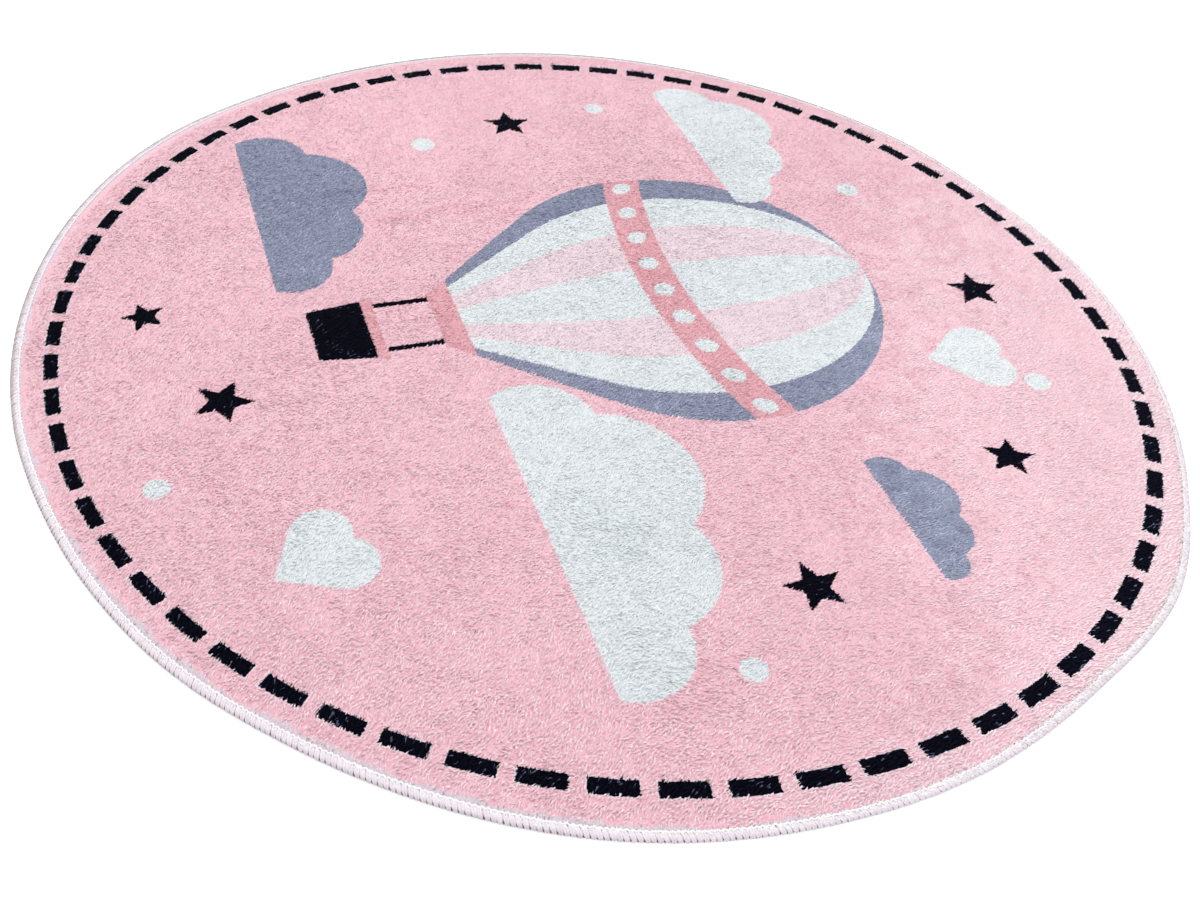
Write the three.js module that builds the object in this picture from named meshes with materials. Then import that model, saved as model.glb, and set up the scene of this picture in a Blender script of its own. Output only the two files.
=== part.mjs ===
// A round plush rug with an overlocked edge, lying flat on a floor.
// Millimetres, +Z up. The origin is on the floor under the middle of the rug.
//
// Two pieces: the cloth, whose pile stands up from a thin woven ground and whose rim is pressed
// flat, and the yarn edge that is stitched round that rim and wraps it above, outside and below.
// Each is turned as a lathe profile, and then follows the same slightly uneven round outline.

import * as THREE from "three";

// Driving dimensions
const RUG_RADIUS = 500; // mean radius, to the outside of the yarn edge
const PILE_TOP = 8; // floor to the tips of the pile
const EDGE_WIDTH = 6.5; // the yarn edge, measured along the rug's radius
const EDGE_HEIGHT = 4.8; // floor to the top of the yarn edge
const YARN_LAYER = 1.3; // yarn above, outside and below the rim of the cloth
const GAP = 0.3; // between the cloth and the yarn round it
const SEGMENTS = 144; // facets round the rug

// How the rug was cut: how far its rim lies outside the mean circle, by bearing from +X towards +Y.
const OUTLINE = [
  { bearing: 0, out: -2.5 },
  { bearing: 15, out: -2 },
  { bearing: 33, out: -5.5 },
  { bearing: 46, out: 0 },
  { bearing: 70, out: 1.5 },
  { bearing: 90, out: 3 },
  { bearing: 118, out: 0 },
  { bearing: 137, out: 1 },
  { bearing: 154, out: 5 },
  { bearing: 180, out: -2.5 },
  { bearing: 210, out: -5 },
  { bearing: 234, out: -0.5 },
  { bearing: 247, out: -1.5 },
  { bearing: 270, out: 3 },
  { bearing: 292, out: -0.5 },
  { bearing: 313, out: -3.5 },
  { bearing: 328, out: 5 },
  { bearing: 341, out: -0.5 },
];

// The outline is followed fully outside OUTLINE_FROM, and not at all at half that radius.
const OUTLINE_FROM = 470;

// The tips of the pile lie a little high and low in broad patches.
const SWELLS = [
  { rise: 0.25, lobes: 3, waves: 2.1, turn: 0.4 },
  { rise: 0.15, lobes: 5, waves: 3.4, turn: 2.2 },
];

const FULL_TURN = 360;
const radians = THREE.MathUtils.degToRad;

// A smooth closed curve through the rows of the outline table.
function outlineAt(bearing) {
  const count = OUTLINE.length;
  const turned = THREE.MathUtils.euclideanModulo(bearing, FULL_TURN);
  let row = count - 1;
  while (OUTLINE[row].bearing > turned) row -= 1;
  const at = (i) => {
    const turns = Math.floor((row + i) / count);
    const entry = OUTLINE[THREE.MathUtils.euclideanModulo(row + i, count)];
    return { bearing: entry.bearing + turns * FULL_TURN, out: entry.out };
  };
  const [before, start, end, after] = [at(-1), at(0), at(1), at(2)];
  const span = end.bearing - start.bearing;
  const t = (turned - start.bearing) / span;
  const startSlope = (end.out - before.out) / (end.bearing - before.bearing) * span;
  const endSlope = (after.out - start.out) / (after.bearing - start.bearing) * span;
  const rise = end.out - start.out;
  const bend = 3 * rise - 2 * startSlope - endSlope;
  const twist = startSlope + endSlope - 2 * rise;
  return start.out + t * (startSlope + t * (bend + t * twist));
}

// How far the tips of the pile lie above PILE_TOP, which is none at the middle and near the rim.
function swellAt(radius, angle) {
  const share = radius / RUG_RADIUS;
  const fade = share * (1 - THREE.MathUtils.smoothstep(radius, 0.8 * RUG_RADIUS, OUTLINE_FROM));
  let rise = 0;
  for (const swell of SWELLS) {
    rise += swell.rise * Math.sin(swell.lobes * angle + swell.waves * share * Math.PI + swell.turn);
  }
  return rise * fade;
}

// Turns a profile of [radius, height] points into a closed body that follows the outline.
function turned(profile) {
  const points = profile.map(([radius, height]) => new THREE.Vector2(radius, height));
  const geometry = new THREE.LatheGeometry(points, SEGMENTS);
  geometry.rotateX(Math.PI / 2);
  const position = geometry.getAttribute("position");
  const highest = Math.max(...profile.map(([, height]) => height));
  for (let i = 0; i < position.count; i += 1) {
    const [x, y, z] = [position.getX(i), position.getY(i), position.getZ(i)];
    const radius = Math.hypot(x, y);
    if (radius < GAP) continue;
    const angle = Math.atan2(y, x);
    const share = THREE.MathUtils.smoothstep(radius, OUTLINE_FROM / 2, OUTLINE_FROM);
    const grown = 1 + share * outlineAt(angle / radians(1)) / radius;
    const top = highest === PILE_TOP && z > PILE_TOP - GAP;
    position.setXYZ(i, x * grown, y * grown, top ? z + swellAt(radius, angle) : z);
  }
  geometry.computeVertexNormals();
  return geometry;
}

// The cloth: flat below, and pressed to a thin rim that lies in the yarn edge.
function pileCloth() {
  const edge = RUG_RADIUS - EDGE_WIDTH;
  const rim = RUG_RADIUS - YARN_LAYER - GAP;
  const rimBottom = YARN_LAYER + GAP;
  const rimTop = EDGE_HEIGHT - YARN_LAYER - GAP;
  const shoulder = [
    { inside: 1, height: 4.7 },
    { inside: 2.5, height: 6.1 },
    { inside: 6, height: 7.4 },
    { inside: 12, height: 7.85 },
    { inside: 24, height: PILE_TOP },
  ];
  const lift = [
    { inside: 14, height: 0 },
    { inside: 7, height: 0.4 },
    { inside: 1, height: rimBottom },
  ];
  const field = [0.82, 0.66, 0.48, 0.3, 0.12];
  const geometry = turned([
    [0, 0],
    ...lift.map((step) => [edge - step.inside, step.height]),
    [rim, rimBottom],
    [rim, rimTop],
    [edge - GAP, rimTop],
    ...shoulder.map((step) => [edge - step.inside, step.height]),
    ...field.map((share) => [share * RUG_RADIUS, PILE_TOP]),
    [0, PILE_TOP],
  ]);
  const plush = new THREE.MeshStandardMaterial({ color: 0xeabecb, roughness: 0.95, metalness: 0 });
  const mesh = new THREE.Mesh(geometry, plush);
  mesh.name = "pile_cloth";
  return mesh;
}

// The yarn edge: a rounded band with a slot on its inside that holds the rim of the cloth.
function overlockEdge() {
  const inner = RUG_RADIUS - EDGE_WIDTH;
  const slot = RUG_RADIUS - YARN_LAYER;
  const slotTop = EDGE_HEIGHT - YARN_LAYER;
  const middle = EDGE_HEIGHT / 2;
  const round = 2.4; // how far in from the outside the band starts to round over
  const lip = 0.5; // rounding of the two lips beside the slot
  const profile = [
    [inner, lip],
    [inner + lip, 0],
    [RUG_RADIUS - round, 0],
  ];
  const steps = 6;
  for (let i = 1; i < steps; i += 1) {
    const angle = radians(-90 + 180 * i / steps);
    profile.push([
      RUG_RADIUS - round + round * Math.cos(angle),
      middle + middle * Math.sin(angle),
    ]);
  }
  profile.push(
    [RUG_RADIUS - round, EDGE_HEIGHT],
    [inner + 2 * lip, EDGE_HEIGHT - lip / 2],
    [inner, slotTop + lip],
    [inner, slotTop],
    [slot, slotTop],
    [slot, YARN_LAYER],
    [inner, YARN_LAYER],
    [inner, lip],
  );
  const yarn = new THREE.MeshStandardMaterial({ color: 0xf1ecf2, roughness: 0.85, metalness: 0 });
  const mesh = new THREE.Mesh(turned(profile), yarn);
  mesh.name = "overlock_edge";
  return mesh;
}

const rug = new THREE.Group();
rug.add(pileCloth(), overlockEdge());

export default rug;
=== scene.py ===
"""The looks of a round plush nursery rug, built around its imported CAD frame. Metres, +Z up.

The rug lies on a floor with its origin under its middle. Its cloth is a thin disc that carries the
printed pile: about 176,000 small locks of fibre, each with the ink of the place where it grows.
Bulky white yarn is stitched over the rim, with a needle line inside it.
"""

import math

import bpy
import numpy as np
from mathutils import Matrix, Vector

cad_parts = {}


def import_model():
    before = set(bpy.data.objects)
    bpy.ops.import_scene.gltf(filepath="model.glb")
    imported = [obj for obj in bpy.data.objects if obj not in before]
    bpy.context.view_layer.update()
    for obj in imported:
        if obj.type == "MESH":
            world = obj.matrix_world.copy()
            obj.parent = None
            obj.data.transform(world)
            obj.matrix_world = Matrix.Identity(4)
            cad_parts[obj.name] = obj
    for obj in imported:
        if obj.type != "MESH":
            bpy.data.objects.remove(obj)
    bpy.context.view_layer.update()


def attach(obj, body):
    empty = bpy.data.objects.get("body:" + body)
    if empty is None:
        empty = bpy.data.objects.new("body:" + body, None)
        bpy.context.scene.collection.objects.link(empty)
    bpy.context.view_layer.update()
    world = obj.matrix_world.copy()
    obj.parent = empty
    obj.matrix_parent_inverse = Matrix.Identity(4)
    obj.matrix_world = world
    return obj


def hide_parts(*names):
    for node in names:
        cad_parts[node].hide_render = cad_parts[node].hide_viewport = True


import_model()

MM = 0.001
FULL_TURN = 2 * math.pi

# Sizes of the rug, as its CAD nodes have them
RUG_RADIUS = 500 * MM  # mean radius, to the outside of the yarn edge
EDGE_WIDTH = 6.5 * MM
EDGE_HEIGHT = 4.8 * MM
PILE_TOP = 8 * MM
OUTLINE_FROM = 470 * MM  # the uneven outline is followed fully outside this radius

# How the rug was cut: how many millimetres its rim lies outside the mean circle, by bearing
# in degrees from +X towards +Y.
OUTLINE = [
    (0, -2.5), (15, -2), (33, -5.5), (46, 0), (70, 1.5), (90, 3),
    (118, 0), (137, 1), (154, 5), (180, -2.5), (210, -5), (234, -0.5),
    (247, -1.5), (270, 3), (292, -0.5), (313, -3.5), (328, 5), (341, -0.5),
]

# How far the yarn draws the rim in, or where negative bulges past it, in millimetres, by bearing
DRAWN_IN = [
    (0, -1.2), (15, -1.0), (40, -0.2), (65, 0.3), (80, 0.9), (110, 0.7), (140, 0.3), (158, -0.7),
    (175, -2.1), (205, -1.5), (216, 0.2), (228, 0.9), (245, 0.3), (265, 0.0), (288, -0.1), (300, -0.9),
    (315, 0.2), (335, -1.0), (360, -1.2),
]

# How broad the yarn edge is, as a share of EDGE_WIDTH, by bearing. Where it is broader it lies lower.
BROAD = [(0, 0.85), (20, 0.95), (45, 1.12), (70, 1.32), (130, 1.3), (160, 1.2), (190, 1.15),
         (205, 1.05), (225, 1.0), (268, 1.0), (282, 0.9), (300, 0.8), (330, 0.85), (360, 0.85)]

# How full the pile stands beside the yarn edge, from 0 to 1, by bearing in degrees
RIM_PILE = [(0, 1.0), (25, 0.9), (55, 0.1), (165, 0.1), (185, 0.4), (215, 0.4), (285, 0.5), (300, 0.9),
            (360, 1.0)]


# -------------------- numbers

def smoothstep(value, start, end):
    share = np.clip((value - start) / (end - start), 0, 1)
    return share * share * (3 - 2 * share)


def by_bearing(table, angle, column=1):
    """A column of a table whose rows begin with bearings from 0 to 360 degrees, read between them."""
    columns = np.array(table, float).T
    return np.interp(np.degrees(angle) % 360, columns[0], columns[column])


def outline_at(angle):
    """How far the rim lies outside the mean circle: a smooth closed curve, less DRAWN_IN."""
    bearings, out = np.array(OUTLINE, float).T
    bearings = np.r_[bearings[-2:] - 360, bearings, bearings[:2] + 360]
    out = np.r_[out[-2:], out, out[:2]]
    turned = np.degrees(angle) % 360
    row = np.clip(np.searchsorted(bearings, turned, side="right") - 1, 1, len(bearings) - 3)
    span = bearings[row + 1] - bearings[row]
    t = (turned - bearings[row]) / span
    slopes = (out[2:] - out[:-2]) / (bearings[2:] - bearings[:-2])
    start_slope, end_slope = slopes[row - 1] * span, slopes[row] * span
    rise = out[row + 1] - out[row]
    bend = 3 * rise - 2 * start_slope - end_slope
    twist = start_slope + end_slope - 2 * rise
    cut = out[row] + t * (start_slope + t * (bend + t * twist))
    return (cut - by_bearing(DRAWN_IN, angle)) * MM


def rim_at(angle):
    """Radius of the outside of the yarn edge."""
    return RUG_RADIUS + outline_at(angle)


def broad(angle):
    return by_bearing(BROAD, angle)


def rim_pile(angle):
    return by_bearing(RIM_PILE, angle)


def follow_outline(radius, angle):
    """Where a point of a true circle of this radius lies once the outline is followed."""
    return radius + smoothstep(radius, OUTLINE_FROM / 2, OUTLINE_FROM) * outline_at(angle)


def noise(x, y, size, seed):
    """Smooth bumps from -1 to 1, each about size across, alike in each run."""
    cells = 256
    lattice = np.random.default_rng(seed).uniform(-1, 1, (cells, cells))
    turn = 0.6 + seed
    u = (x * math.cos(turn) + y * math.sin(turn)) / size
    v = (y * math.cos(turn) - x * math.sin(turn)) / size
    i, j = np.floor(u).astype(int), np.floor(v).astype(int)
    fu, fv = smoothstep(u - i, 0, 1), smoothstep(v - j, 0, 1)

    def corner(di, dj):
        return lattice[(i + di) % cells, (j + dj) % cells]

    near = corner(0, 0) * (1 - fu) + corner(1, 0) * fu
    far = corner(0, 1) * (1 - fu) + corner(1, 1) * fu
    return near * (1 - fv) + far * fv


# -------------------- formulas for arrays and shaders

class Shade:
    """A number inside a shader. Arithmetic on it adds Math nodes, so one formula serves both."""

    def __init__(self, tree, socket):
        self.tree, self.socket = tree, socket

    def __add__(self, other):
        return maths("ADD", self, other)

    def __mul__(self, other):
        return maths("MULTIPLY", self, other)

    def __sub__(self, other):
        return maths("SUBTRACT", self, other)

    def __rsub__(self, other):
        return maths("SUBTRACT", other, self)

    def __truediv__(self, other):
        return maths("DIVIDE", self, other)

    __radd__ = __add__
    __rmul__ = __mul__


def feed(tree, made, inputs):
    """Puts values, sockets or shader numbers on a node's named or numbered inputs."""
    for key, value in dict(inputs).items():
        if isinstance(value, Shade):
            value = value.socket
        if isinstance(value, bpy.types.NodeSocket):
            tree.links.new(value, made.inputs[key])
        else:
            made.inputs[key].default_value = value


def node(tree, kind, inputs=(), **settings):
    """A node with its settings and with what feeds its inputs."""
    made = tree.nodes.new(kind)
    for name, value in settings.items():
        setattr(made, name, value)
    feed(tree, made, inputs)
    return made


def maths(operation, *values):
    tree = next(v.tree for v in values if isinstance(v, Shade))
    made = node(tree, "ShaderNodeMath", enumerate(values), operation=operation)
    return Shade(tree, made.outputs[0])


def either(on_arrays, operation):
    """A function that works on arrays, or on shader numbers through a Math node."""
    def function(*values):
        if any(isinstance(v, Shade) for v in values):
            return maths(operation, *values)
        return on_arrays(*values)
    return function


least = either(np.minimum, "MINIMUM")
most = either(np.maximum, "MAXIMUM")
size_of = either(np.abs, "ABSOLUTE")
root_of = either(lambda v: np.sqrt(np.maximum(v, 0)), "SQRT")
bearing_of = either(np.arctan2, "ARCTAN2")
sine = either(np.sin, "SINE")
cosine = either(np.cos, "COSINE")
wrapped = either(np.mod, "FLOORED_MODULO")
above = either(lambda a, b: np.where(a > b, 1.0, 0.0), "GREATER_THAN")


def length_of(x, y):
    return root_of(x * x + y * y)


# -------------------- the print

# Inks by number, with the colours of the tips of the pile and of its depth (sRGB, 0 to 255). The tips'
# colours are paler as painted light, and the depth's deeper as painted shade
PINK, WHITE, SLATE, PALE, ROSE, NAVY, WORN, BARE = range(8)
INKS = {
    PINK: ((255, 234, 241), (238, 172, 188)),
    WHITE: ((250, 253, 255), (219, 227, 231)),
    SLATE: ((192, 198, 220), (104, 110, 138)),
    PALE: ((252, 238, 244), (236, 210, 220)),
    ROSE: ((250, 206, 213), (222, 150, 162)),
    NAVY: ((11, 12, 29), (2, 2, 9)),
    WORN: ((98, 106, 130), (30, 34, 54)),
    BARE: ((246, 236, 243), (214, 196, 208)),
}

# The ring of dashes, in millimetres
DASHES = 67
DASH_RING = 464.8
DASH_LONG = 32.4
DASH_WIDE = 12.4
WIDER_BY = 1.0  # towards the bearing where the dashes came out widest
WIDEST_AT = math.radians(50)
DASH_RIM = 0.8  # of paler ink
DASH_CENTRE = (0, -5.3)
FIRST_DASH = math.radians(-153.1)

# The cloth was pulled unevenly as it was printed. In waves that go round the ring this often, the
# dashes lie further out by so many millimetres, most of all at a bearing in degrees, and further
# along it likewise.
RING_WAVES = [
    (1, (3.5, -9), (2.4, 112)),
    (2, (1.0, -8), (2.6, -30)),
    (3, (1.0, -44), (1.4, 53)),
    (4, (0.9, -26), (0.9, -41)),
]

# The picture stands up along this bearing. Its motifs are placed from the rug's middle, along the
# picture's right and up, in millimetres.
PICTURE_UP = 20
BALLOON_AT = (-20, 95)
# Place and radius
SPOTS = [
    ((-305, -80), 12), ((-140, 330), 11), ((385, -30), 10),
    ((-345, 125), 10), ((130, -395), 10), ((170, 345), 11),
]
# Place, radius and tilt
STARS = [
    ((-330, 20), 26, 10), ((45, -335), 26, -12), ((330, 45), 24, 20),
    ((40, 365), 26, 4), ((-75, -385), 20, 30), ((245, 265), 22, -8),
]
# Place, width and ink, from the back to the front
CLOUDS = [
    ((285, 160), 130, SLATE), ((-215, -235), 270, SLATE),
    ((-255, 235), 240, WHITE), ((235, -85), 320, WHITE),
]
# Place along +X and +Y, the bearing to which it stands up, and width
HEARTS = [((-203, -311), 43, 80), ((322, -16), 11, 80)]


def local(x, y, at, up):
    """Coordinates along a motif's own right and up, where its up points along a bearing."""
    c, s = math.cos(math.radians(up)), math.sin(math.radians(up))
    dx, dy = x - at[0], y - at[1]
    return dx * s - dy * c, dx * c + dy * s


def disc(x, y, at, radius):
    return radius - length_of(x - at[0], y - at[1])


def heart(x, y, wide):
    """Two round lobes on a square that stands on its corner."""
    side = wide / 1.7
    turn = math.sqrt(0.5)
    y = y - 0.04 * side
    square = 0.5 * side - most(size_of((x + y) * turn), size_of((x - y) * turn))
    lobe = 0.5 * side * turn
    lobes = disc(size_of(x), y, (lobe, lobe), 0.5 * side)
    return most(square, lobes)


def star(x, y, radius, tilt):
    """Five points, each the same wedge turned by a fifth."""
    inner = 0.45 * radius
    fifth = FULL_TURN / 5
    turn = wrapped(bearing_of(x, y) + (fifth / 2 + math.radians(tilt)), fifth)
    turn = size_of(turn - fifth / 2)
    far = length_of(x, y)
    px, py = far * cosine(turn), far * sine(turn)
    ix, iy = inner * math.cos(fifth / 2), inner * math.sin(fifth / 2)
    long = math.hypot(radius - ix, iy)
    return ((radius - px) * (iy / long)) - py * ((radius - ix) / long)


def cloud(x, y, wide):
    """Four puffs on one level foot."""
    puffs = [(-0.33, -0.04, 0.16), (-0.12, 0.07, 0.23), (0.14, 0.03, 0.20), (0.35, -0.06, 0.14)]
    body = None
    for px, py, radius in puffs:
        puff = disc(x, y, (px * wide, py * wide), radius * wide)
        body = puff if body is None else most(body, puff)
    return least(body, y + 0.13 * wide)


def over(ink, inside, number):
    """The ink with another number printed over it wherever inside is above 0."""
    return ink + above(inside, 0.0) * (number - ink)


def balloon(ink, x, y):
    """A hot-air balloon: gores from its crown to its mouth, with a spotted band and a hem."""
    radius, mouth, neck = 180, 36, 237  # of the crown, half across the mouth, and down to it
    meets = math.radians(40)  # where the round crown runs over into the straight cone
    cone_top, cone_wide = -radius * math.sin(meets), radius * math.cos(meets)
    crown = root_of(radius * radius - y * y)
    cone = cone_wide + (y - cone_top) * ((cone_wide - mouth) / (cone_top + neck))
    on_crown = above(y, cone_top)
    half = cone + on_crown * (crown - cone)
    envelope = least(half - size_of(x), y + neck)
    across = size_of(x) / most(half, 1.0)
    gores = SLATE
    # Each gore ends at a share of the way from the middle to the side
    for end, outer, inner in [(0.80, SLATE, WHITE), (0.52, WHITE, PALE), (0.20, PALE, WHITE)]:
        gores = gores + above(end, across) * (inner - outer)
    band, band_high, sag = 5, 38, 26
    dot, dots_apart, last_dot = 9.5, 0.23, 0.97
    sagged = y + sag * (1 - across * across) - band
    gores = over(gores, band_high / 2 - size_of(sagged), ROSE)
    to_dot = size_of(wrapped(across + dots_apart / 2, dots_apart) - dots_apart / 2) * radius
    gores = over(gores, least(dot - length_of(to_dot, sagged), last_dot - across), WHITE)
    hem = 22
    gores = over(gores, hem - (y + neck), ROSE)
    return over(basket(ink, x, y, -neck), envelope, gores)


def basket(ink, x, y, mouth):
    """A basket that flares upwards, with a brim and two ropes up to the balloon's mouth."""
    ropes_apart, rope_wide, foot = 60, 6, -300
    ropes = rope_wide / 2 - size_of(size_of(x) - ropes_apart / 2)
    ink = over(ink, least(ropes, least(y - foot, mouth - y)), NAVY)
    wide, high, middle, flare = 72, 56, -318, 0.12
    sides = wide / 2 - size_of(x) + (y - middle) * flare
    ink = over(ink, least(sides, high / 2 - size_of(y - middle)), NAVY)
    wide, high, middle = 84, 10, -292
    return over(ink, least(high / 2 - size_of(y - middle), wide / 2 - size_of(x)), ROSE)


def dashes(ink, x, y):
    """The ring of dashes, each with a little paler ink round it."""
    bearing = bearing_of(y, x)
    out, ahead = 0, 0
    for waves, (most_out, out_crest), (most_ahead, ahead_crest) in RING_WAVES:
        out = out + most_out * cosine(bearing * waves - math.radians(out_crest * waves))
        ahead = ahead + most_ahead * cosine(bearing * waves - math.radians(ahead_crest * waves))
    pitch = FULL_TURN / DASHES
    start = FIRST_DASH - pitch / 2
    along = (wrapped(bearing - ahead * (1 / DASH_RING) - start, pitch) - pitch / 2) * DASH_RING
    across = length_of(x, y) - (out + DASH_RING)
    wide = DASH_WIDE + WIDER_BY * cosine(bearing - WIDEST_AT)
    dash = least(DASH_LONG / 2 - size_of(along), wide / 2 - size_of(across))
    return over(over(ink, dash + DASH_RIM, PALE), dash, NAVY)


def printed_ink(x, y):
    """The number of the ink at a place on the rug, in millimetres from its middle."""
    px, py = local(x, y, (0, 0), PICTURE_UP)
    ink = x * 0
    for at, radius in SPOTS:
        ink = over(ink, disc(px, py, at, radius), WHITE)
    for (right, up), radius, tilt in STARS:
        ink = over(ink, star(px - right, py - up, radius, tilt), NAVY)
    ink = balloon(ink, px - BALLOON_AT[0], py - BALLOON_AT[1])
    for (right, up), wide, number in CLOUDS:
        ink = over(ink, cloud(px - right, py - up, wide), number)
    for at, bearing, wide in HEARTS:
        ink = over(ink, heart(*local(x, y, at, bearing), wide), WHITE)
    return dashes(ink, x - DASH_CENTRE[0], y - DASH_CENTRE[1])


# -------------------- materials

def linear(colour):
    """An sRGB colour, 0 to 255, as the linear one that a shader takes."""
    share = np.asarray(colour, float) / 255
    low, high = share / 12.92, ((share + 0.055) / 1.055) ** 2.4
    return (*np.where(share <= 0.04045, low, high), 1.0)


def material(name, roughness, specular=0.2, sheen=0.0):
    """A new node material with its Principled shader."""
    made = bpy.data.materials.new(name)
    made.use_nodes = True
    shader = made.node_tree.nodes["Principled BSDF"]
    values = {"Roughness": roughness, "Specular IOR Level": specular, "Sheen Weight": sheen}
    feed(made.node_tree, shader, values)
    return made, made.node_tree, shader


def ink_ramp(tree, ink, column):
    """The colour of an ink's tips, column 0, or of its depth, column 1."""
    ramp = node(tree, "ShaderNodeValToRGB", {0: ink / len(INKS)})
    ramp.color_ramp.interpolation = "CONSTANT"
    stops = ramp.color_ramp.elements
    while len(stops) < len(INKS):
        stops.new(0.5)
    for i, colours in INKS.items():
        stops[i].position = max(0, (i - 0.5) / len(INKS))
        stops[i].color = linear(colours[column])
    return ramp.outputs["Color"]


def blend(tree, share, low, high):
    """Two colours or sockets mixed by a shader number."""
    values = {"Factor": share, 6: low, 7: high}  # 6 and 7 are its colour inputs A and B
    return node(tree, "ShaderNodeMix", values, data_type="RGBA").outputs[2]


def pile_colour(tree, ink, height, shade):
    """Colour deepened low in the pile as painted shade and paler at its tips as painted light, times a
    shade that differs lock by lock.
    """
    colour = blend(tree, height, ink_ramp(tree, ink, 1), ink_ramp(tree, ink, 0))
    values = {0: colour, "Scale": shade}
    return node(tree, "ShaderNodeVectorMath", values, operation="SCALE").outputs[0]


def attribute(tree, name):
    return Shade(tree, node(tree, "ShaderNodeAttribute", attribute_name=name).outputs["Fac"])


def object_place(tree):
    return node(tree, "ShaderNodeTexCoord").outputs["Object"]


def split(tree, vector):
    """The three numbers of a vector's socket."""
    return [Shade(tree, part) for part in node(tree, "ShaderNodeSeparateXYZ", {0: vector}).outputs]


def noise_node(tree, coordinates, scale, detail=2.0, roughness=0.5):
    values = {"Vector": coordinates, "Scale": scale, "Detail": detail, "Roughness": roughness}
    return node(tree, "ShaderNodeTexNoise", values)


def speckle(tree, *settings):
    return Shade(tree, noise_node(tree, *settings).outputs["Fac"])


def surface(tree, shader, colour, height, strength, distance):
    """Gives a shader its colour and bumps."""
    values = {"Strength": strength, "Distance": distance, "Height": height}
    normal = node(tree, "ShaderNodeBump", values).outputs["Normal"]
    feed(tree, shader, {"Base Color": colour, "Normal": normal})


def lock_material():
    """The locks of the pile, coloured by the ink at their roots."""
    made, tree, shader = material("plush_locks", 0.9, specular=0.06, sheen=0.02)
    streaks = speckle(tree, object_place(tree), 1400.0)
    shade = attribute(tree, "shade") * (0.9 + streaks * 0.2)
    colour = pile_colour(tree, attribute(tree, "ink"), attribute(tree, "height"), shade)
    feed(tree, shader, {"Base Color": colour})
    return made


def ground_material():
    """The mass of the pile between the locks: the same print, deeper in colour as painted shade between
    the locks.
    """
    made, tree, shader = material("plush_depth", 0.95, specular=0.04)
    place = object_place(tree)
    moves = split(tree, noise_node(tree, place, 700.0).outputs["Color"])
    ragged = 2.5  # millimetres by which the print's outlines stray
    x, y = (part * (1 / MM) + (move - 0.5) * ragged for part, move in zip(split(tree, place)[:2], moves))
    fine = speckle(tree, place, 620.0, 3.0, 0.6)
    mottled = (moves[2] - 0.5) * 7.0
    ink = over(printed_ink(x, y), attribute(tree, "bare") + mottled, BARE)
    calm = attribute(tree, "calm")
    height = least(most((fine - 0.35) * (1.8 - calm * 0.9), 0.0) + calm * 0.28, 1.0)
    colour = pile_colour(tree, ink, height, 0.86 + fine * 0.16)
    surface(tree, shader, colour, fine, 0.7 - calm * 0.45, 0.9 * MM)
    return made


def backing_material():
    """The underside: a plain woven ground."""
    made, tree, shader = material("woven_ground", 0.9)
    place = object_place(tree)
    thread = FULL_TURN / (1.6 * MM)
    warp, weft = (sine(part * thread) for part in split(tree, place)[:2])
    weave = warp * weft
    slubs = speckle(tree, place, 260.0, 3.0)
    tone = least(most(0.5 + weave * 0.3 + (slubs - 0.5) * 0.8, 0.0), 1.0)
    colour = blend(tree, tone, linear((196, 188, 178)), linear((232, 228, 220)))
    surface(tree, shader, colour, weave + slubs * 0.6, 0.6, 0.4 * MM)
    return made


# The colour of soil and of painted shade on the outside of the yarn
SOIL_AND_SHADE = (124, 119, 106)  # sRGB


def yarn_material(name, light, dark, twists, relief):
    """Bulky yarn: fibres that turn round the strand, a tone of its own on each stitch, and soil with
    painted shade.
    """
    made, tree, shader = material(name, 0.9, specular=0.06, sheen=0.03)
    along, round_it, _ = split(tree, node(tree, "ShaderNodeUVMap", uv_map="strand").outputs["UV"])
    hairs = speckle(tree, object_place(tree), 1100.0, 3.0, 0.6)
    fibres_round = 6
    fibres = sine((along * twists + round_it) * (fibres_round * FULL_TURN) + hairs * 3)
    tone = least(most(attribute(tree, "shade") + fibres * 0.14 + (hairs - 0.5) * 0.6, 0.0), 1.0)
    clean = blend(tree, tone, linear(dark), linear(light))
    # Soil and painted shade over the clean yarn
    soiled_and_shaded = blend(tree, attribute(tree, "soil_and_shade"), clean, linear(SOIL_AND_SHADE))
    surface(tree, shader, soiled_and_shaded, fibres * 0.5 + hairs, relief, 0.25 * MM)
    return made


# -------------------- meshes

def mesh_object(name, vertices, faces, materials, slots=None):
    """An object from an array of vertices and a list of arrays of faces, each with one count."""
    mesh = bpy.data.meshes.new(name)
    mesh.vertices.add(len(vertices))
    mesh.vertices.foreach_set("co", np.asarray(vertices, np.float32).ravel())
    corners = np.concatenate([f.ravel() for f in faces]).astype(np.int32)
    counts = np.concatenate([np.full(len(f), f.shape[1]) for f in faces])
    mesh.loops.add(len(corners))
    mesh.loops.foreach_set("vertex_index", corners)
    mesh.polygons.add(len(counts))
    starts = np.r_[0, np.cumsum(counts)[:-1]]
    mesh.polygons.foreach_set("loop_start", starts.astype(np.int32))
    mesh.polygons.foreach_set("loop_total", counts.astype(np.int32))
    mesh.polygons.foreach_set("use_smooth", np.full(len(counts), True))
    for item in materials:
        mesh.materials.append(item)
    if slots is not None:
        mesh.polygons.foreach_set("material_index", slots.astype(np.int32))
    mesh.update(calc_edges=True)
    mesh.validate()
    made = bpy.data.objects.new(name, mesh)
    bpy.context.scene.collection.objects.link(made)
    return made


def set_attribute(piece, name, values, domain="POINT"):
    """A number on each vertex, or on each face, which the material reads by name."""
    held = piece.data.attributes.new(name, "FLOAT", domain)
    held.data.foreach_set("value", np.asarray(values, np.float32).ravel())


def set_uv(piece, name, corners):
    """A UV map from one place for each corner, in the order of the faces."""
    layer = piece.data.uv_layers.new(name=name)
    layer.uv.foreach_set("vector", np.asarray(corners, np.float32).ravel())


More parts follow.
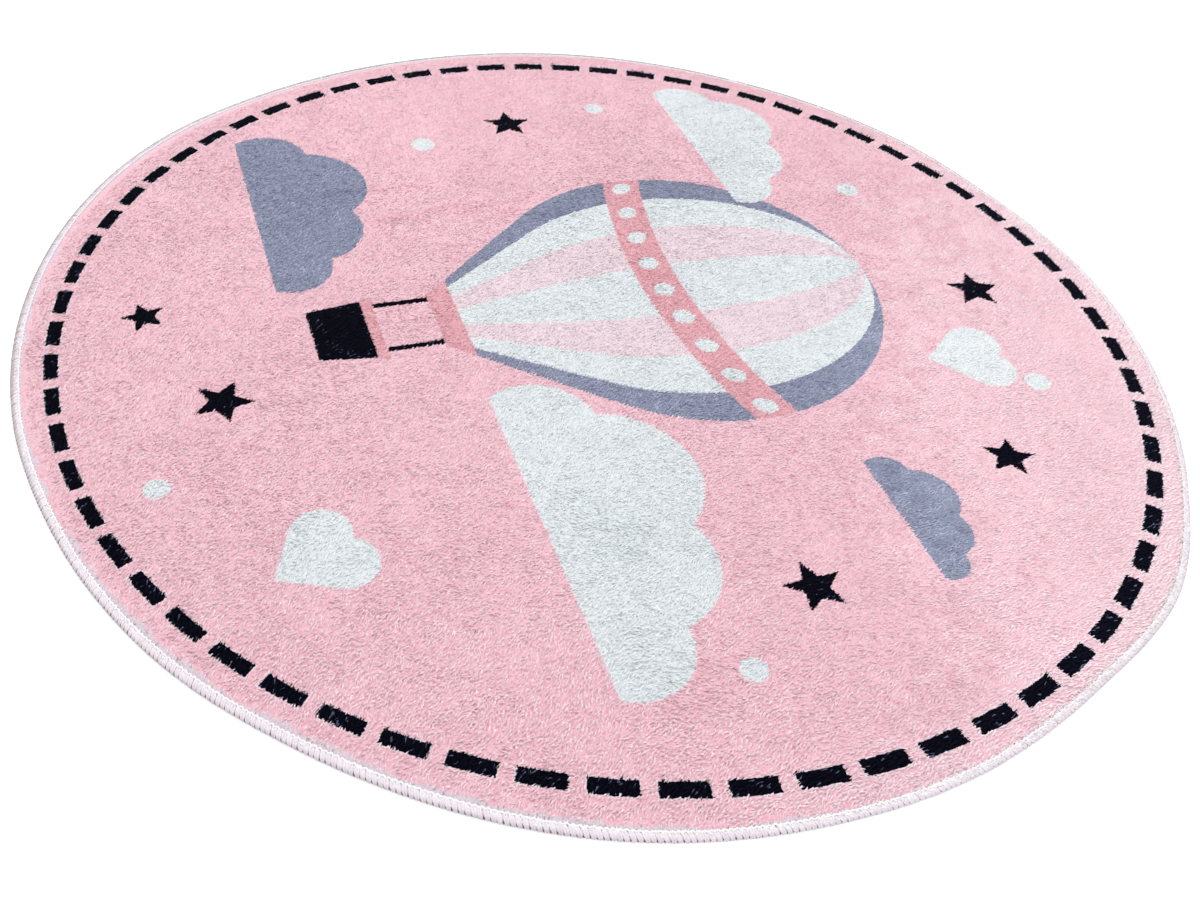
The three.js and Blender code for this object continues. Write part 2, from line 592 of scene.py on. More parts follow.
def loop_faces(rows, columns, closed=False):
    """Quads between rows of a closed ring of columns. Closed is where the last row meets the first."""
    i, j = np.indices((rows if closed else rows - 1, columns))
    beyond, after = (i + 1) % rows, (j + 1) % columns
    quads = np.stack([i * columns + j, i * columns + after,
                      beyond * columns + after, beyond * columns + j], -1)
    return quads.reshape(-1, 4)


def quad_places(rows, columns, du, dv):
    """Corners, in a map, of quads whose rows follow each other by du, and their columns by dv."""
    place = np.arange(rows)[:, None, None] * du + np.arange(columns)[:, None] * dv
    return np.stack([place, place + dv, place + du + dv, place + du], -2)


TURNED = [0, 3, 2, 1]  # the corners of a quad that faces the other way


def cells(number, columns):
    """Lower left corners of the numbered squares of a map that has this many to a row."""
    return np.stack([number % columns, number // columns], -1)[:, None, :]


# A closed wedge, from a root edge of vertices 0 and 1 to a cut edge of 2 and 3: two faces at the
# root's end, then two at the cut end. In a map it takes one cell, cut by both diagonals.
WEDGE = np.array([(1, 0, 3), (0, 1, 2), (3, 2, 1), (2, 3, 0)])
CELL = [(0.03, 0.03), (0.97, 0.03), (0.97, 0.97), (0.03, 0.97)]
WEDGE_PLACES = np.array([(CELL[k], CELL[(k + 1) % 4], (0.5, 0.5)) for k in range(4)]).reshape(-1, 2)


def wedges(root, tip, across, cut):
    """Vertices of wedges between two edges, given by their middles and half their lengths."""
    turned = (np.cross(across, cut) * (tip - root)).sum(1) < 0
    cut = np.where(turned[:, None], -cut, cut)
    return np.stack([root - across, root + across, tip - cut, tip + cut], 1)


def unit(vectors):
    return vectors / np.linalg.norm(vectors, axis=-1, keepdims=True)


def wedge_object(name, vertices, look, relief):
    """Many closed wedges in one object. Fibres scatter light softly, so they are shaded more as the
    pile's top than as hard edges, by their relief."""
    faces = (np.arange(len(vertices))[:, None, None] * 4 + WEDGE).reshape(-1, 3)
    piece = mesh_object(name, vertices.reshape(-1, 3), [faces], [look])
    away = unit(vertices - vertices.mean(1, keepdims=True))
    normals = unit(away * np.reshape(relief, (-1, 1, 1)) + (0, 0, 1))
    piece.data.normals_split_custom_set_from_vertices(normals.reshape(-1, 3))
    return piece


# -------------------- the cloth

CLOTH_SIDES = 240

# The top of the mass of pile, above which single locks stand: distance in from the yarn edge,
# and height
SHOULDER = np.array([(0.0, 4.3), (1.0, 4.7), (2.5, 5.1), (6, 5.8), (12, 6.2), (24, 6.5)]) * MM

def pile_edge(angle):
    """Radius where the pile begins: inside the needle line, or where it stands full, over it."""
    clear = np.interp(rim_pile(angle), [0.1, 0.5, 1.0], [1.33, 0.65, -1.9]) * MM
    return rim_at(angle) - (EDGE_WIDTH + clear) * broad(angle)


def calm_at(x, y):
    """From 0 in front to 1 on the far side and at the right, where the pile lies smooth and even."""
    behind = 0.45 * smoothstep(y, -0.42, -0.2) + 0.5 * smoothstep(y, -0.05, 0.35)
    return np.minimum(behind + 0.7 * smoothstep(x, 0.05, 0.35), 1)


def mass_top(x, y):
    """Height of the mass of pile at a place."""
    radius, angle = np.hypot(x, y), np.arctan2(y, x)
    inside = rim_at(angle) - EDGE_WIDTH * broad(angle) - radius
    height = np.interp(inside, *SHOULDER.T)
    height = height - 1.0 * MM * (1 - rim_pile(angle)) * (1 - smoothstep(inside, 0, 9 * MM))
    waves = 0.35 * noise(x, y, 60 * MM, 11) + 0.22 * noise(x, y, 17 * MM, 12)
    waves = waves + 0.4 * calm_at(x, y)
    return height + waves * MM * smoothstep(inside, 0, 20 * MM)


def cloth():
    """The disc of cloth, closed: the mass of the pile on top, the pressed rim, the woven ground."""
    edge = RUG_RADIUS - EDGE_WIDTH
    tongue = RUG_RADIUS - 2.9 * MM
    field = list(np.linspace(0, edge - 24 * MM, 50)[1:])
    shoulder = [edge - d * MM for d in (16, 10, 6, 3.5, 2, 1, 0.3)]
    top = [(r, None) for r in field + shoulder]
    rim = [(edge, 3.2 * MM), (tongue, 3.15 * MM), (tongue, 1.65 * MM)]
    below = [(edge - 1 * MM, 1.6 * MM), (edge - 7 * MM, 0.4 * MM), (edge - 14 * MM, 0.0)]
    below += [(share * RUG_RADIUS, 0.0) for share in (0.9, 0.75, 0.6, 0.45, 0.3, 0.15, 0.05)]
    j = np.arange(CLOTH_SIDES)
    angle = j * FULL_TURN / CLOTH_SIDES
    rings = []
    for radius, height in top + rim + below:
        r = follow_outline(radius, angle)
        x, y = r * np.cos(angle), r * np.sin(angle)
        z = mass_top(x, y) if height is None else np.full_like(x, height)
        rings.append(np.c_[x, y, z])
    vertices = np.r_[[(0, 0, mass_top(0.0, 0.0))], np.concatenate(rings), [(0, 0, 0)]]
    quads = 1 + loop_faces(len(rings), CLOTH_SIDES)[:, ::-1]
    after = (j + 1) % CLOTH_SIDES
    last = 1 + (len(rings) - 1) * CLOTH_SIDES
    upper = np.stack([0 * j, 1 + j, 1 + after], -1)
    lower = np.stack([0 * j + len(vertices) - 1, last + after, last + j], -1)
    underside = len(top) + 1  # rows of quads from the rim's outer top inwards below
    row = np.arange(len(quads)) // CLOTH_SIDES
    slots = np.r_[row >= underside, np.zeros(len(upper)), np.ones(len(lower))]
    piece = mesh_object("pile_ground", vertices, [quads, upper, lower],
                        [ground_material(), backing_material()], slots)
    x, y, _ = vertices.T
    set_attribute(piece, "bare", bare_amount(x, y))
    set_attribute(piece, "calm", calm_at(x, y))
    corners = vertices[np.concatenate([f.ravel() for f in (quads, upper, lower)])]
    is_under = np.repeat(slots.astype(bool), [4] * len(quads) + [3] * (len(upper) + len(lower)))
    # The bake's map: the printed face large, and the underside small beside it
    face, under = 0.36 / RUG_RADIUS, 0.12 / RUG_RADIUS
    flat = np.where(is_under[:, None], corners[:, :2] * under + (0.86, 0.14),
                    corners[:, :2] * face + (0.37, 0.62))
    set_uv(piece, "OFBake", flat)
    return piece


# How wide the unprinted pile beside the yarn edge is, and how far single wisps of it reach inwards,
# in millimetres, by bearing in degrees
BARE_RIM = [
    (0, 0, 1), (50, 0.4, 3), (95, 1.8, 5), (150, 2.0, 8), (178, 1.8, 9), (200, 2.0, 9), (218, 2.3, 8),
    (235, 4.2, 7), (258, 4.0, 7), (270, 3.0, 6), (285, 1.4, 6), (300, 0.1, 3), (318, 0, 1), (360, 0, 1),
]


def bare_amount(x, y):
    """Above 0 where the pile beside the yarn edge has no ink."""
    angle = np.arctan2(y, x)
    inside = (pile_edge(angle) - np.hypot(x, y)) / MM
    uneven = 1 + 0.55 * noise(x, y, 22 * MM, 21) + 0.35 * noise(x, y, 6 * MM, 22)
    wide = by_bearing(BARE_RIM, angle) * uneven
    # Wisps are long along the rim and slant inwards
    along = angle * RUG_RADIUS / MM
    wisp = noise(along + 2 * inside, 5 * inside, 13, 23) + 0.8 * noise(along, 3 * inside, 5, 24)
    reach = by_bearing(BARE_RIM, angle, 2) * smoothstep(wisp, 0.2, 1.1)
    return np.maximum(wide, 0.8 * reach) - inside


# -------------------- the pile

LOCK_SPACING = 2.08 * MM
LOCK_WIDE = 1.7 * MM  # at its root
CUT_WIDE = 1.1 * MM  # at its cut end
LOCK_LONG = 4.0 * MM

# Places where the pile was brushed another way: middle, half its length and width, in millimetres,
# the bearing of its length, the bearing the pile leans to, in degrees, and how much more painted shade of
# its depth it shows, or less where below 0
BRUSHED = [
    ((-205, 168), (70, 7), 14, 340, 0.40),
    ((-150, 140), (90, 9), 24, 340, 0.40),
    ((-60, 150), (60, 10), 6, 350, 0.35),
    ((8, -258), (72, 26), -8, 330, 0.30),
    ((66, -385), (42, 26), 30, 330, 0.22),
    ((246, -288), (30, 14), 40, 310, 0.25),
    ((430, -130), (210, 430), 0, 20, -0.6),
]


def brushed(x, y, at, size, turn):
    """From 0 to 1, how much a place lies in a brushed patch, which has a ragged outline."""
    px, py = local(x / MM, y / MM, at, 90 + turn)
    ragged = 0.35 * noise(x, y, 16 * MM, 31) + 0.25 * noise(x, y, 6 * MM, 32)
    far = np.hypot(px / size[0], py / size[1]) + ragged
    return 1 - smoothstep(far, 0.55, 1.15)


def lean_field(x, y):
    """The bearing to which the pile leans, how far it leans from upright, and how much of the painted
    shade of its depth shows.
    """
    varied = 1 - 0.6 * calm_at(x, y)
    to_x = 0.55 + 0.3 * noise(x, y, 150 * MM, 41) + 0.22 * varied * noise(x, y, 38 * MM, 42)
    to_y = 0.35 + 0.3 * noise(x, y, 150 * MM, 43) + 0.22 * varied * noise(x, y, 38 * MM, 44)
    deep = varied * (0.06 * noise(x, y, 45 * MM, 45) + 0.07 * noise(x, y, 13 * MM, 46))
    for at, size, turn, lean, depth in BRUSHED:
        share = brushed(x, y, at, size, turn)
        to_x = to_x + 0.4 * share * math.cos(math.radians(lean))
        to_y = to_y + 0.4 * share * math.sin(math.radians(lean))
        deep = deep + depth * share
    # The yarn presses the pile beside it back from the rim
    angle = np.arctan2(y, x)
    inside = pile_edge(angle) - np.hypot(x, y)
    pressed = 1.5 * (1 - rim_pile(angle)) * (1 - smoothstep(inside, 0, 8 * MM))
    to_x, to_y = to_x - pressed * np.cos(angle), to_y - pressed * np.sin(angle)
    over_by = np.radians(56 + 11 * calm_at(x, y) + 5 * noise(x, y, 30 * MM, 47))
    return np.arctan2(to_y, to_x), over_by, deep


def lock_roots():
    """Places of all locks: a grid, each shifted at random, inside the yarn edge."""
    half = int(RUG_RADIUS / LOCK_SPACING) + 1
    count = 2 * half
    i, j = np.indices((count, count)).reshape(2, -1)
    rng = np.random.default_rng(5)
    shift = rng.uniform(-0.42, 0.42, (2, len(i)))
    x = (i - half + 0.5 + shift[0] + 0.5 * (j % 2)) * LOCK_SPACING
    y = (j - half + 0.5 + shift[1]) * LOCK_SPACING
    inside = pile_edge(np.arctan2(y, x)) > np.hypot(x, y)
    return i[inside], j[inside], x[inside], y[inside], count


def locks():
    """The pile, as joined meshes of closed wedges: each runs from a buried edge to a cut one."""
    i, j, x, y, count = lock_roots()
    rng = np.random.default_rng(6)
    total = len(x)
    angle = np.arctan2(y, x)
    inside = pile_edge(angle) - np.hypot(x, y)
    full, calm = rim_pile(angle), calm_at(x, y)
    to, over_by, deep = lean_field(x, y)
    restless = 1 - 0.5 * calm
    swirl = 0.55 * noise(x, y, 9 * MM, 51) + 0.5 * noise(x, y, 4.5 * MM, 53) + rng.normal(0, 0.3, total)
    to = to + restless * swirl
    over_by = over_by + restless * (0.15 * noise(x, y, 5 * MM, 52) + rng.normal(0, 0.14, total))
    over_by = np.clip(over_by, 0.3, 1.35)
    long = LOCK_LONG * (1 + rng.normal(0, 0.14, total))
    short = 0.5 + 0.4 * full
    long = long * (short + (1 - short) * smoothstep(inside, 0, 8 * MM))
    # Where the pile stands full, it lies over the inside of the yarn
    over_yarn = np.hypot(x, y) - rim_at(angle) + EDGE_WIDTH * broad(angle)
    raised = 1.3 * MM * full * smoothstep(over_yarn, -1.5 * MM, 1.0 * MM)
    root = np.stack([x, y, mass_top(x, y) - 0.7 * MM + raised], -1)
    lean = np.stack([np.cos(to) * np.sin(over_by), np.sin(to) * np.sin(over_by), np.cos(over_by)], -1)
    tip = root + lean * long[:, None]
    highest = EDGE_HEIGHT + (1.8 * full - 0.3 - (broad(angle) - 1)) * MM
    highest = np.minimum(highest + (0.33 + 0.3 * full) * np.maximum(inside, 0), PILE_TOP + 1.2 * MM)
    tip[:, 2] = np.minimum(tip[:, 2], highest)
    root_half = LOCK_WIDE / 2 * (1 + rng.normal(0, 0.12, total))
    tip_half = CUT_WIDE / 2 * (1 + rng.normal(0, 0.18, total))
    turn = rng.uniform(0, FULL_TURN, total)
    across = np.stack([np.cos(turn), np.sin(turn), np.zeros(total)], -1) * root_half[:, None]
    cut = np.stack([-np.sin(turn), np.cos(turn), rng.uniform(-0.5, 0.5, total)], -1)
    cut = cut * tip_half[:, None]
    vertices = wedges(root, tip, across, cut)

    stands = smoothstep(full, 0.5, 0.9)
    patchy = rng.normal(0, 1.3, total) * (1 - 0.5 * stands)
    fleck = 0.08 + 0.3 * smoothstep(noise(x, y, 14 * MM, 61), 0.3, 0.9)
    fleck = rng.random(total) < fleck * (1 - 0.75 * calm)

    def ink_at(share):
        x, y, _ = (root + share * (tip - root)).T
        ink = printed_ink(x / MM, y / MM)
        bare = bare_amount(x, y) + patchy
        ink = np.where((bare > -1.6) & (ink == PINK), PALE, ink)
        ink = np.where((ink == NAVY) & fleck & (share > 0.5), WORN, ink)
        return np.where(bare > 0, BARE, ink)

    ink = np.stack([ink_at(1 / 3)] * 2 + [ink_at(2 / 3)] * 2, -1)
    # The unprinted locks beside the yarn are crushed and a little darker, and some of them darker still
    # with painted shade, as if they lay in the yarn's shade
    shaded = (rng.random(total) < 0.3) * (inside < 1.8 * MM) * (1 - stands)
    crushed_and_shaded = (ink[:, 0] == BARE) * (0.04 + 0.45 * shaded)
    uneven = 0.035 + 0.03 * (ink[:, 0] == BARE)
    # A tone for each lock: darker with painted shade where brushed pile shows more of its depth, paler
    # where it shows less
    shade = 1 + rng.normal(0, uneven) - 0.08 * deep - 0.02 * calm - crushed_and_shaded
    shade = shade - 0.018 * smoothstep(y, -0.05, 0.3)
    # Paler beside the rim on the right
    pale = smoothstep(np.cos(angle + math.radians(10)), 0.2, 0.6)
    pale = pale * (1 - smoothstep(inside, 10 * MM, 55 * MM))
    # How much of the tips' colour each lock has at its root and at its cut end: from the painted shade of
    # the depth to the painted light of the tips
    low = 0.05 + 0.1 * calm - 0.5 * deep + 0.38 * pale + rng.normal(0, 0.06, total)
    tufts = 0.16 * noise(x, y, 3.5 * MM, 54) + rng.normal(0, 0.15, total)
    high = 0.8 - 0.37 * calm - 0.6 * deep + 0.28 * pale + tufts * (1 - 0.5 * pale)
    low, high = np.clip(low, 0, 1), np.clip(high, 0, 1)

    # Every second lock each way goes to one piece, so that no piece has too many triangles
    made = []
    look = lock_material()
    for part, (odd_i, odd_j) in enumerate([(0, 0), (0, 1), (1, 0), (1, 1)]):
        chosen = (i % 2 == odd_i) & (j % 2 == odd_j)
        piece = wedge_object(f"pile_locks_{part + 1}", vertices[chosen], look,
                             0.6 - 0.25 * calm[chosen] - 0.15 * pale[chosen])
        set_attribute(piece, "ink", ink[chosen], "FACE")
        set_attribute(piece, "shade", np.repeat(shade[chosen], 4))
        set_attribute(piece, "height", np.stack([low, low, high, high], -1)[chosen])
        at = np.stack([i[chosen] // 2, j[chosen] // 2], -1)[:, None, :]
        set_uv(piece, "OFBake", (at + WEDGE_PLACES) / (count // 2))
        made.append(piece)
    return made


# -------------------- the yarn edge

STITCH_PITCH = 4.0 * MM
STITCHES = round(FULL_TURN * RUG_RADIUS / STITCH_PITCH)
YARN_WIDE = 4.08 * MM
YARN_THICK = 1.5 * MM
STITCH_SLANT = 4.6 * MM

# The way of one stitch over the rim: millimetres in from the outside and up, and its share of the
# slant and of the strand's width
STITCH_WAY = np.array([
    (7.8, 3.8, 0.00, 0.55), (6.9, 4.5, 0.08, 0.88), (5.1, 4.6, 0.25, 0.97),
    (3.3, 4.25, 0.44, 0.96), (2.0, 3.45, 0.60, 0.82), (1.5, 2.35, 0.76, 0.64),
    (2.1, 1.3, 1.00, 0.56), (3.8, 0.85, 1.10, 0.56), (6.4, 0.9, 1.15, 0.40),
])

# Soil and painted shade on the outside of the yarn, by bearing in degrees: how many points earlier on that
# way than at the front they start, and how strong they are
SOIL_AND_SHADE_BY_BEARING = [
    (0, 2.2, 0.40), (30, 2.9, 0.55), (60, 3.5, 0.95), (120, 3.4, 0.95), (145, 2.8, 0.70), (172, 2.1, 0.75),
    (198, 2.2, 0.70), (212, 1.5, 0.60), (240, 0.4, 0.30), (268, 0.5, 0.38), (280, 0.1, 0.20),
    (292, 0.1, 0.12), (315, 0.8, 0.20), (360, 2.2, 0.38),
]


def soil_and_shade_at(point, angle):
    """How much soil and painted shade the yarn has at a numbered point of a stitch's way: on its outside
    only.
    """
    early, strong = by_bearing(SOIL_AND_SHADE_BY_BEARING, angle), by_bearing(SOIL_AND_SHADE_BY_BEARING, angle, 2)
    uneven = 0.35 * noise(angle * RUG_RADIUS, 0, 11 * MM, 81)
    outside = smoothstep(point + early + uneven, 3.9, 5.1) * (1 - smoothstep(point, 6.1, 7.0))
    return strong * outside


def on_rug(inside, along, height, angle):
    """Points beside the rim: distance in from the outside, distance along it from a bearing."""
    there = angle + along / RUG_RADIUS
    radius = rim_at(there) - inside * broad(there)
    drop = 2.4 * MM * np.maximum(broad(there) - 1, 0) * smoothstep(height, 3 * MM, 5 * MM)
    return np.stack([radius * np.cos(there), radius * np.sin(there), height - drop], -1)


def stitches():
    """Strands side by side over the rim, each of two loops with a groove between them."""
    count = STITCHES
    rng = np.random.default_rng(7)
    angle = (np.arange(count) + rng.normal(0, 0.035, count)) * FULL_TURN / count
    way_in, way_up, way_slant, taper = STITCH_WAY.T
    turn = np.radians([0, 28, 58, 90, 122, 152, 180, 225, 315])
    steps, sides = len(STITCH_WAY), len(turn)
    slant = STITCH_SLANT * (1 + rng.normal(0, 0.025, count))
    wide = YARN_WIDE * (1 + rng.normal(0, 0.03, count)) / 2
    thick = YARN_THICK * (1 + rng.normal(0, 0.08, count)) / 2
    lift = rng.normal(0, 0.10, (count, steps)) * MM
    shift = rng.normal(0, 0.06, (count, steps)) * MM
    line = np.stack([way_in * MM + lift * 0.5, way_slant * slant[:, None] + shift,
                     way_up * MM + lift], -1)
    ahead = unit(np.gradient(line, axis=1))
    along = np.array([0.0, 1.0, 0.0])
    side = unit(along - ahead * (along * ahead).sum(2, keepdims=True))
    out = np.cross(side, ahead)
    groove = np.where(turn == math.pi / 2, 1.0, 0.0)
    seam = np.abs(np.cos(turn)) ** 4  # where a strand meets the next
    uneven = 1 + rng.normal(0, 0.05, (count, steps, sides))
    across = uneven * (wide[:, None] * taper)[..., None] * np.cos(turn)
    depth = np.clip(rng.normal(0.42, 0.12, (count, steps, 1)), 0.1, 0.7) * groove
    up = uneven * (thick[:, None] * taper ** 0.5)[..., None] * np.sin(turn) * (1 - depth)
    ring = side[:, :, None] * across[..., None] + out[:, :, None] * up[..., None]
    points = line[:, :, None] + ring
    points[..., 2] = np.maximum(points[..., 2], 0.06 * MM)
    vertices = on_rug(*np.moveaxis(points, -1, 0), angle[:, None, None])
    quads = loop_faces(steps, sides)
    first, last = np.arange(sides)[::-1], np.arange(sides) + (steps - 1) * sides
    offsets = np.arange(count)[:, None, None] * (steps * sides)
    faces = [(quads + offsets).reshape(-1, 4), first + offsets[:, 0], last + offsets[:, 0]]
    look = yarn_material("overlock_yarn", (246, 237, 245), (218, 202, 213), 1.5, 0.5)
    piece = mesh_object("edge_stitches", vertices.reshape(-1, 3), faces, [look])
    own = 0.97 - 0.32 * smoothstep(broad(angle), 1.05, 1.2)
    own = (own + rng.normal(0, 0.06, count))[:, None, None]
    # Painted shade in the groove of each stitch and in the seams between strands: the seams are open below
    # and closed up by the needle thread above
    open_seam = np.interp(np.arange(steps), [0, 1.5, 3, 4], [0.4, 0.65, 0.55, 0.75])[None, :, None]
    set_attribute(piece, "shade", own - 1.1 * depth - 0.85 * seam * uneven * open_seam)
    # Soil and painted shade on the outside, gathered as painted shadow into dark dots in the seams and
    # grooves
    soil_and_shade = soil_and_shade_at(np.arange(steps), angle[:, None])[..., None]
    spotty = 1 - 0.75 * smoothstep(broad(angle), 1.15, 1.3)[:, None, None]
    soil_and_shade = soil_and_shade * (0.6 + spotty * (0.3 * groove + 1.0 * seam - 0.25))
    set_attribute(piece, "soil_and_shade", np.clip(soil_and_shade, 0, 1))
    # Along and round each strand
    strand = quad_places(steps - 1, sides, (1 / (steps - 1), 0), (0, 1 / sides)).reshape(-1, 2)
    cap = 0.5 + 0.4 * np.stack([np.cos(turn), np.sin(turn)], -1)
    set_uv(piece, "strand", np.concatenate([np.tile(strand, (count, 1)), np.tile(cap, (2 * count, 1))]))
    columns = 30
    cell = cells(np.arange(count), columns)
    body = cell + strand * (0.92, 0.70) + (0.03, 0.02)
    ends = [cell + cap * 0.2 + (0.05 + 0.4 * k, 0.76) for k in (0, 1)]
    corners = np.concatenate([body.reshape(-1, 2), *(e.reshape(-1, 2) for e in ends)])
    set_uv(piece, "OFBake", corners / columns)
    return piece


def needle_line():
    """The needle thread inside the strands: one link to a stitch, bowed in towards the pile."""
    steps, sides, radius = 5, 5, 0.68 * MM
    count = STITCHES * steps
    link, t = np.arange(count) // steps, np.arange(count) / steps
    uneven = np.random.default_rng(8).normal(0, 0.2, STITCHES)[link]
    bow = np.abs(np.sin(math.pi * t))
    inside = (6.7 + (1.05 + uneven) * bow) * MM
    height = (4.95 + 0.25 * bow + 0.3 * uneven) * MM
    along = t * FULL_TURN * RUG_RADIUS / STITCHES + 0.5 * MM * np.sin(FULL_TURN * t)
    centre = on_rug(inside, along, height, 0)
    ahead = unit(np.roll(centre, -1, 0) - np.roll(centre, 1, 0))
    side = unit(np.cross(ahead, [0, 0, 1]))
    up = np.cross(side, ahead)
    turn = np.arange(sides)[:, None] * FULL_TURN / sides
    points = centre[:, None] + radius * (side[:, None] * np.cos(turn) + up[:, None] * np.sin(turn))
    look = yarn_material("needle_thread", (255, 254, 255), (245, 235, 243), 2.0, 0.2)
    quads = loop_faces(count, sides, closed=True)[:, TURNED]
    piece = mesh_object("edge_needle_line", points.reshape(-1, 3), [quads], [look])
    # The pile's ink shows through it where the edge lies low
    shade = 1 - 0.8 * smoothstep(broad(along / RUG_RADIUS), 1.05, 1.2)
    set_attribute(piece, "shade", np.repeat(shade, sides))
    strand = quad_places(count, sides, (1 / steps, 0), (0, 1 / sides))[:, :, TURNED]
    set_uv(piece, "strand", strand)
    columns = 29
    inner = strand - np.stack([link, 0 * link], -1)[:, None, None, :]
    set_uv(piece, "OFBake", (cells(link, columns)[:, None] + inner * 0.94 + 0.03) / columns)
    return piece


def edge_core():
    """The layers of yarn under the strands, which fill the edge and show between them."""
    section = np.array([(6.4, 4.6), (5.0, 4.75), (3.5, 4.3), (2.5, 3.3), (2.1, 2.4), (2.5, 1.6),
                        (3.7, 1.0), (4.9, 0.6), (6.4, 0.6), (6.4, 1.3), (2.7, 1.4), (2.7, 3.4),
                        (6.4, 3.5)])
    count = CLOTH_SIDES
    angle = np.arange(count) * FULL_TURN / count
    inside, height = section.T[..., None] * MM
    vertices = on_rug(inside, 0, height, angle).reshape(-1, 3)
    rows = len(section)
    quads = loop_faces(rows, count, closed=True)[:, TURNED]
    # Its dark colour is painted shade between the strands on the outside of the edge
    look = yarn_material("edge_filling", (240, 218, 230), (56, 54, 52), 1.0, 0.5)
    piece = mesh_object("edge_core", vertices, [quads], [look])
    # Pale above, where the pile's ink shows through, dark on the outside as painted shade between the
    # strands, and pale again below
    x, y, z = vertices.T
    above_rim = smoothstep(z / MM - 0.5 * by_bearing(SOIL_AND_SHADE_BY_BEARING, np.arctan2(y, x)), 2.3, 3.7)
    light = 0.9 * np.maximum(above_rim, smoothstep(z / MM, 1.5, 1.0))
    set_attribute(piece, "shade", light + 0.1 * noise(x, y, 8 * MM, 71))
    turns = 200  # of the fibres along it
    strand = quad_places(rows, count, (0, 1 / rows), (turns / count, 0))
    set_uv(piece, "strand", strand[:, :, TURNED])
    return piece


# Loose fibres, by bearing in degrees: how long those are that lie from the yarn over the pile
WHISKERS = [(0, 3.4), (25, 3.0), (60, 2.0), (120, 1.8), (200, 2.0), (260, 2.2), (290, 3.0),
            (315, 4.2), (335, 4.2), (360, 3.4)]

# Tangles of loose fibre: bearing and half its spread, in degrees, how far in from the outside, how
# many, and how long, in millimetres
TANGLES = [(328, 1.8, (1.5, 5.5), 70, 7), (70.1, 0.6, (1.8, 6.0), 70, 5)]


def fuzz():
    """Loose fibres of the yarn, as closed slivers over the strands and onto the pile."""
    rng = np.random.default_rng(9)
    count = 8000
    # Denser where they are longer, and in clumps
    bearing = np.arange(0, 360.5, 0.5)
    crowd = np.cumsum(by_bearing(WHISKERS, np.radians(bearing)) ** 1.5)
    angle = np.radians(np.interp(rng.uniform(crowd[0], crowd[-1], count), crowd, bearing))
    clump = 0.5 + 0.5 * noise(angle * RUG_RADIUS, 0, 2.2 * MM, 91)
    inside = rng.triangular(2.0, 7.2, 8.2, count) * MM
    reach = by_bearing(WHISKERS, angle) * (0.35 + 0.9 * clump)
    long = reach * rng.uniform(0.6, 1.1, count) * MM
    for middle, spread, place, n, longest in TANGLES:
        turn = math.radians(middle) + rng.normal(0, math.radians(spread), n)
        angle = np.r_[angle, turn % FULL_TURN]
        inside = np.r_[inside, rng.uniform(*place, n) * MM]
        long = np.r_[long, longest * rng.uniform(0.4, 1.2, n) * MM]
    total = len(angle)
    upper = STITCH_WAY[4::-1] * MM  # the points of a stitch's way that run over the top
    height = np.interp(inside, upper[:, 0], upper[:, 1] + YARN_THICK / 2) - 0.15 * MM
    spread = rng.normal(0.45, 0.4, total)
    rise = rng.uniform(0.05, 0.35, total)
    run = np.stack([long * np.cos(spread), -long * np.sin(spread), long * rise * 0.5], -1)
    run[:, 2] += 0.35 * np.maximum(inside + run[:, 0] - 7.5 * MM, 0)
    root = on_rug(inside, 0, height, angle)
    end = np.minimum(height + run[:, 2], PILE_TOP + 1 * MM)
    tip = on_rug(inside + run[:, 0], run[:, 1], end, angle)
    wide = 0.36 * MM * rng.uniform(0.7, 1.4, total)
    across = np.cross(unit(tip - root), [0, 0, 1]) * wide[:, None]
    cut = (0.3 * wide)[:, None] * (0, 0, 1)
    look = yarn_material("loose_fibre", (255, 254, 255), (244, 238, 245), 1.0, 0.0)
    piece = wedge_object("edge_fuzz", wedges(root, tip, across, cut), look, 0.25)
    set_attribute(piece, "shade", np.repeat(rng.uniform(0.8, 1.2, total), 4))
    set_uv(piece, "strand", np.tile(WEDGE_PLACES, (total, 1)))
    columns = math.ceil(math.sqrt(total))
    set_uv(piece, "OFBake", (cells(np.arange(total), columns) + WEDGE_PLACES) / columns)
    return piece


# -------------------- build

ground = cloth()
pile = locks()
strands, needle, core, loose = stitches(), needle_line(), edge_core(), fuzz()

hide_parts("pile_cloth")
for piece in (strands, core):
    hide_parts("overlock_edge")
for piece in (ground, *pile, strands, needle, core, loose):
    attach(piece, "root")


# -------------------- stage

def seen(tree):
    """1 for the camera and for glossy reflections, which see a white surround, and 0 for light."""
    path = node(tree, "ShaderNodeLightPath").outputs
    return most(Shade(tree, path["Is Camera Ray"]), Shade(tree, path["Is Glossy Ray"]))


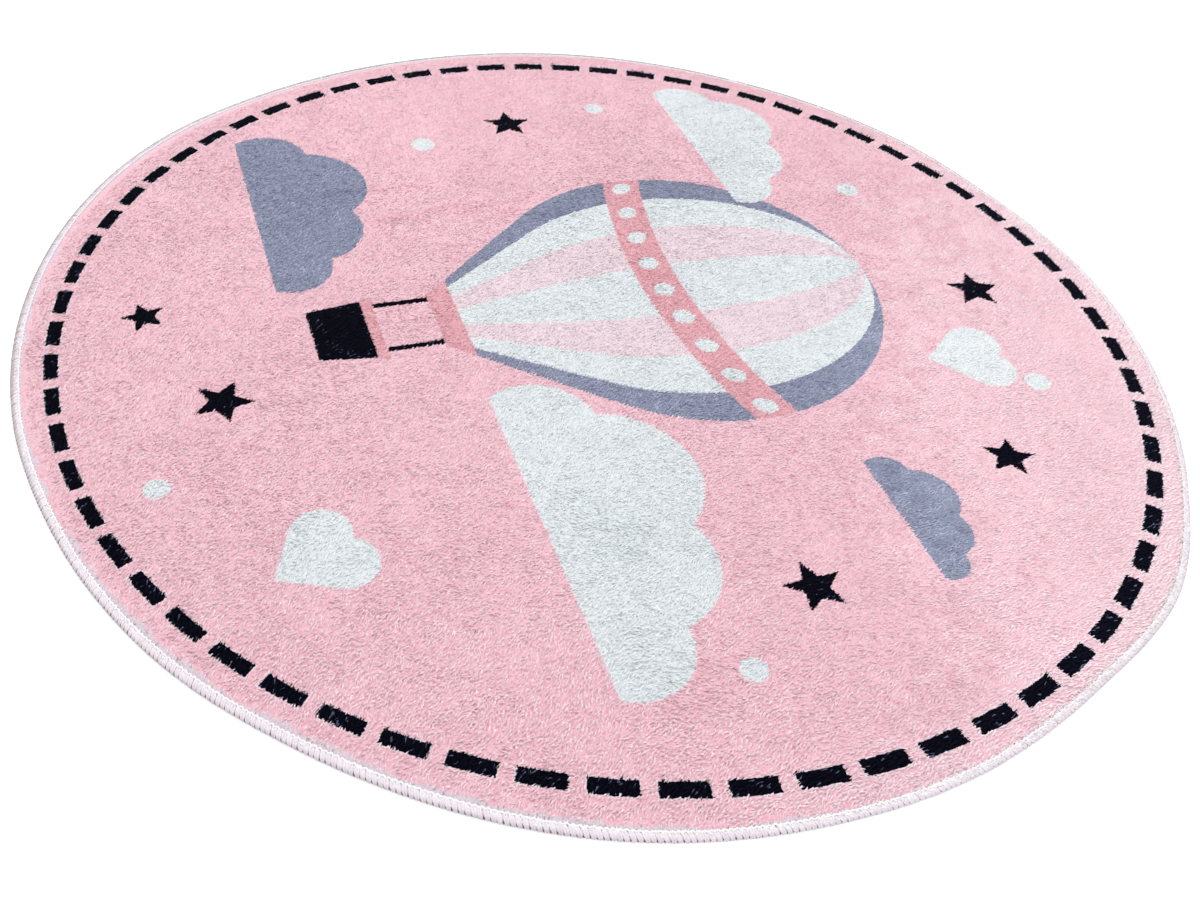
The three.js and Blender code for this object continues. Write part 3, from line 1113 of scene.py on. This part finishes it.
def floor():
    """A plain pale floor, white to the camera, that keeps the rug's shadow."""
    half = 6.0
    corners = half * np.array([(-1, -1, 0), (1, -1, 0), (1, 1, 0), (-1, 1, 0)])
    made = bpy.data.materials.new("floor")
    made.use_nodes = True
    tree = made.node_tree
    tree.nodes.clear()
    diffuse = node(tree, "ShaderNodeBsdfDiffuse", {"Color": (0.88, 0.88, 0.88, 1)})
    lift = node(tree, "ShaderNodeEmission", {"Color": (1, 1, 1, 1), "Strength": seen(tree) * 0.45})
    both = node(tree, "ShaderNodeAddShader", {0: diffuse.outputs[0], 1: lift.outputs[0]})
    node(tree, "ShaderNodeOutputMaterial", {"Surface": both.outputs[0]})
    made_floor = mesh_object("floor", corners, [np.array([[0, 1, 2, 3]])], [made])


def lamp(name, place, size, power, colour):
    """A round soft light that shines on the middle of the rug."""
    data = bpy.data.lights.new(name, "AREA")
    data.shape, data.size, data.energy, data.color = "DISK", size, power, colour
    made = bpy.data.objects.new(name, data)
    made.location = place
    made.rotation_euler = (-Vector(place)).to_track_quat("-Z", "Y").to_euler()
    bpy.context.scene.collection.objects.link(made)


def world():
    """White to the camera, and a soft even light for the rug."""
    made = bpy.data.worlds.new("studio")
    bpy.context.scene.world = made
    made.use_nodes = True
    tree = made.node_tree
    background = tree.nodes["Background"]
    soft = 0.74
    strength = soft + seen(tree) * (1 - soft)
    feed(tree, background, {"Strength": strength, "Color": (1, 1, 1, 1)})


def camera():
    """Stands in front of the rug, looking down on it, a little turned about its own line of sight."""
    place = Vector((-0.092, -0.857, 0.664))
    down, roll = math.radians(44.40), math.radians(5.07)
    ahead = Vector((0, math.cos(down), -math.sin(down)))
    right = Vector((1, 0, 0))
    up = right.cross(ahead)
    right, up = (right * math.cos(roll) + up * math.sin(roll),
                 up * math.cos(roll) - right * math.sin(roll))
    data = bpy.data.cameras.new("camera")
    data.sensor_width, data.lens, data.shift_x = 36, 36.2, 0.10
    data.clip_start, data.clip_end = 0.01, 50
    made = bpy.data.objects.new("camera", data)
    bpy.context.scene.collection.objects.link(made)
    made.matrix_world = Matrix.Translation(place) @ Matrix((right, up, -ahead)).transposed().to_4x4()
    bpy.context.scene.camera = made


floor()
world()
lamp("key", (-0.9, 1.3, 2.4), size=1.6, power=34, colour=(1.0, 0.99, 0.98))
lamp("fill", (1.4, -1.6, 2.0), size=1.6, power=15, colour=(0.97, 0.98, 1.0))
camera()
bpy.context.scene.view_settings.view_transform = "Standard"
